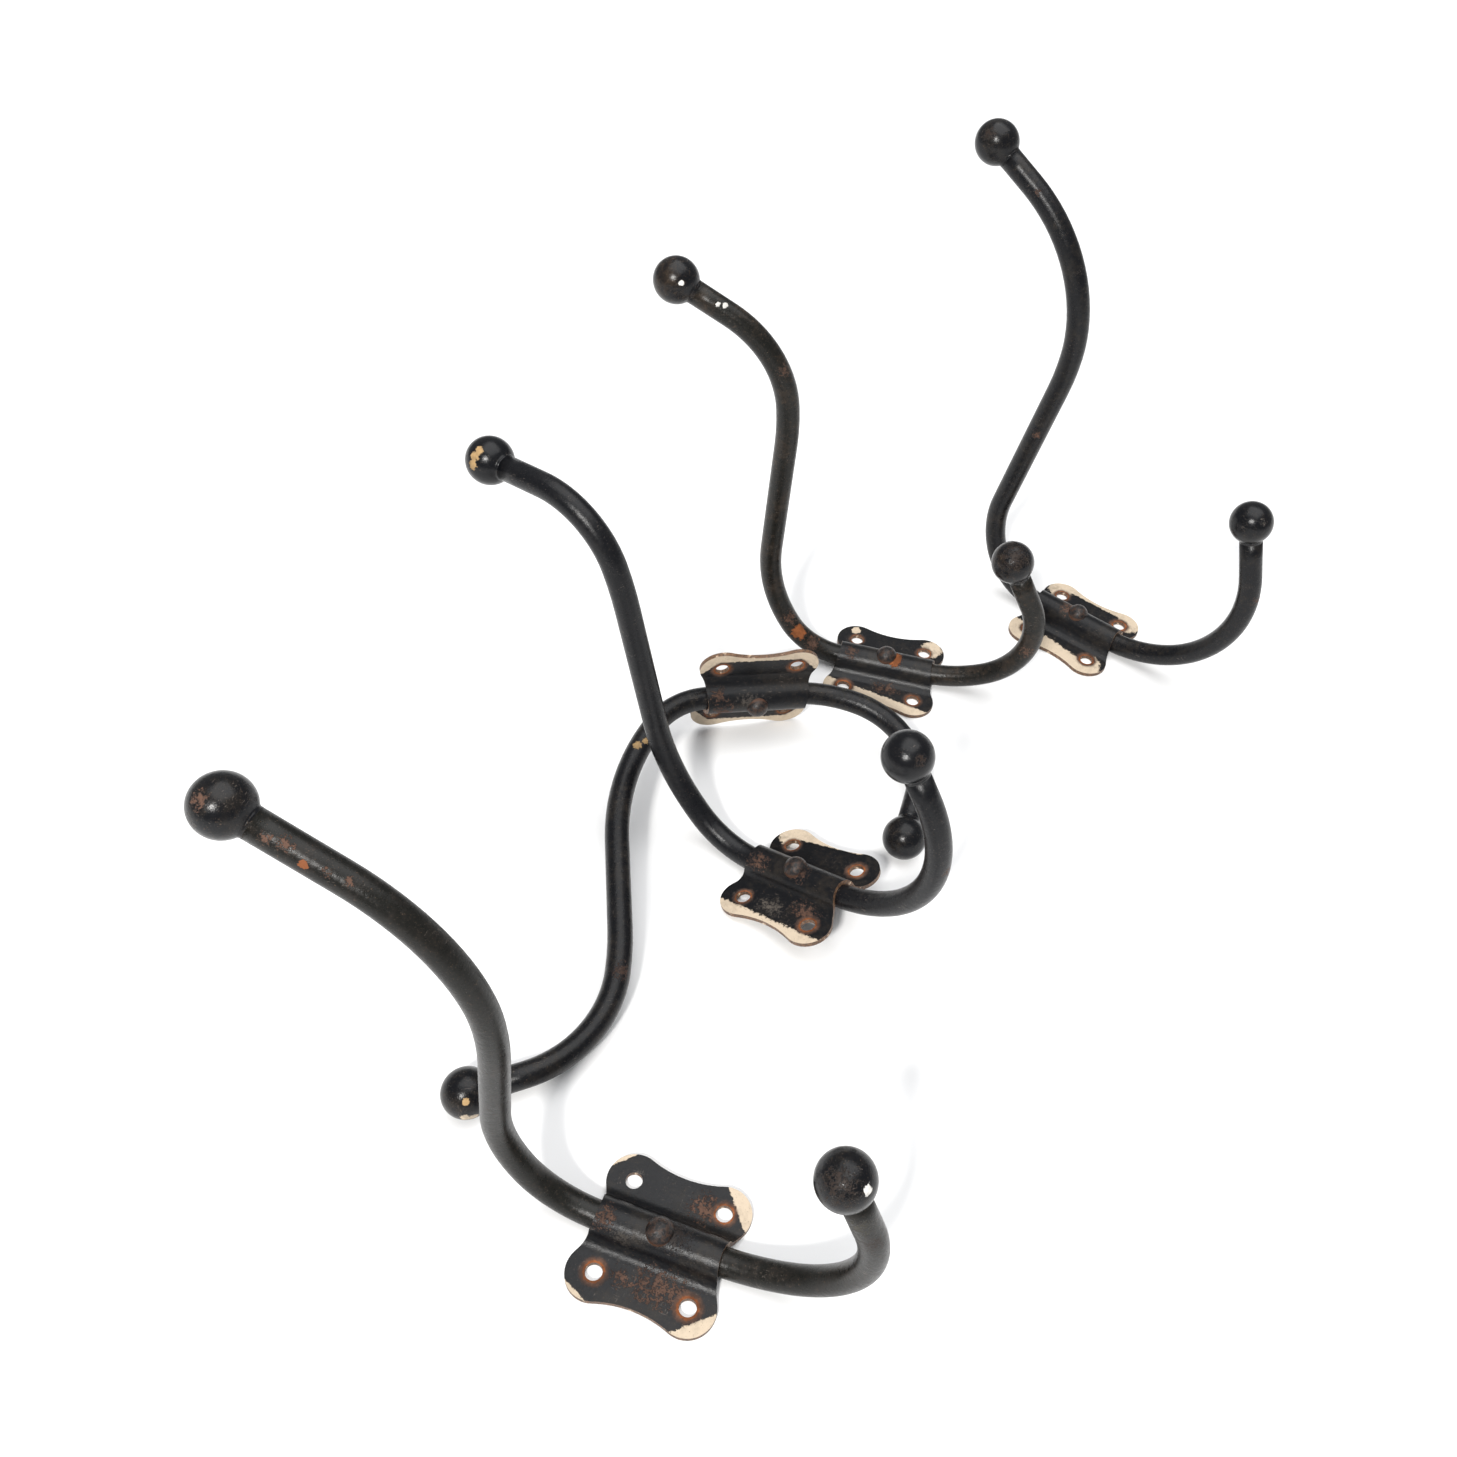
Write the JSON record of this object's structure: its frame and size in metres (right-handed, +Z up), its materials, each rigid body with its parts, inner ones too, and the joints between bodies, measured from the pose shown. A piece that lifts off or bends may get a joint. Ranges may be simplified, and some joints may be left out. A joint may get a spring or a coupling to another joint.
{
  "type": "double wall hook set",
  "caption": "Loose set of double hat and coat hooks, each a bent round bar with a ball on each end, riveted to a butterfly wall plate.",
  "frame": {"origin": "centre of the footprint of the set's bounding box, on the surface it lies on", "axes": "+Z up from the surface, +Y the longest extent, away from the viewer"},
  "size_m": [0.2919, 0.3392, 0.1841],
  "materials": {
    "rod_enamel": "worn semi-gloss",
    "plate_enamel": "worn semi-gloss",
    "rivet_brown": "worn satin",
    "ball_enamel": "worn gloss"
  },
  "bodies": {
    "hook_1": {"hook_1_rod": "rod_enamel", "hook_1_plate": "plate_enamel", "hook_1_rivet": "rivet_brown", "hook_1_upper_ball": "ball_enamel", "hook_1_lower_ball": "ball_enamel"},
    "hook_2": {"hook_2_rod": "rod_enamel", "hook_2_plate": "plate_enamel", "hook_2_rivet": "rivet_brown", "hook_2_upper_ball": "ball_enamel", "hook_2_lower_ball": "ball_enamel"},
    "hook_3": {"hook_3_rod": "rod_enamel", "hook_3_plate": "plate_enamel", "hook_3_rivet": "rivet_brown", "hook_3_upper_ball": "ball_enamel", "hook_3_lower_ball": "ball_enamel"},
    "hook_4": {"hook_4_rod": "rod_enamel", "hook_4_plate": "plate_enamel", "hook_4_rivet": "rivet_brown", "hook_4_upper_ball": "ball_enamel", "hook_4_lower_ball": "ball_enamel"},
    "hook_5": {"hook_5_rod": "rod_enamel", "hook_5_plate": "plate_enamel", "hook_5_rivet": "rivet_brown", "hook_5_upper_ball": "ball_enamel", "hook_5_lower_ball": "ball_enamel"}
  },
  "joints": [
    {"name": "lift_hook_1", "type": "slide", "parent": "hook_4", "child": "hook_1", "axis": [0, 0, 1], "range_m": [0, 0.2]},
    {"name": "lift_hook_2", "type": "slide", "parent": "hook_4", "child": "hook_2", "axis": [0, 0, 1], "range_m": [0, 0.2]},
    {"name": "lift_hook_3", "type": "slide", "parent": "hook_4", "child": "hook_3", "axis": [0, 0, 1], "range_m": [0, 0.2]},
    {"name": "lift_hook_5", "type": "slide", "parent": "hook_4", "child": "hook_5", "axis": [0, 0, 1], "range_m": [0, 0.2]}
  ]
}
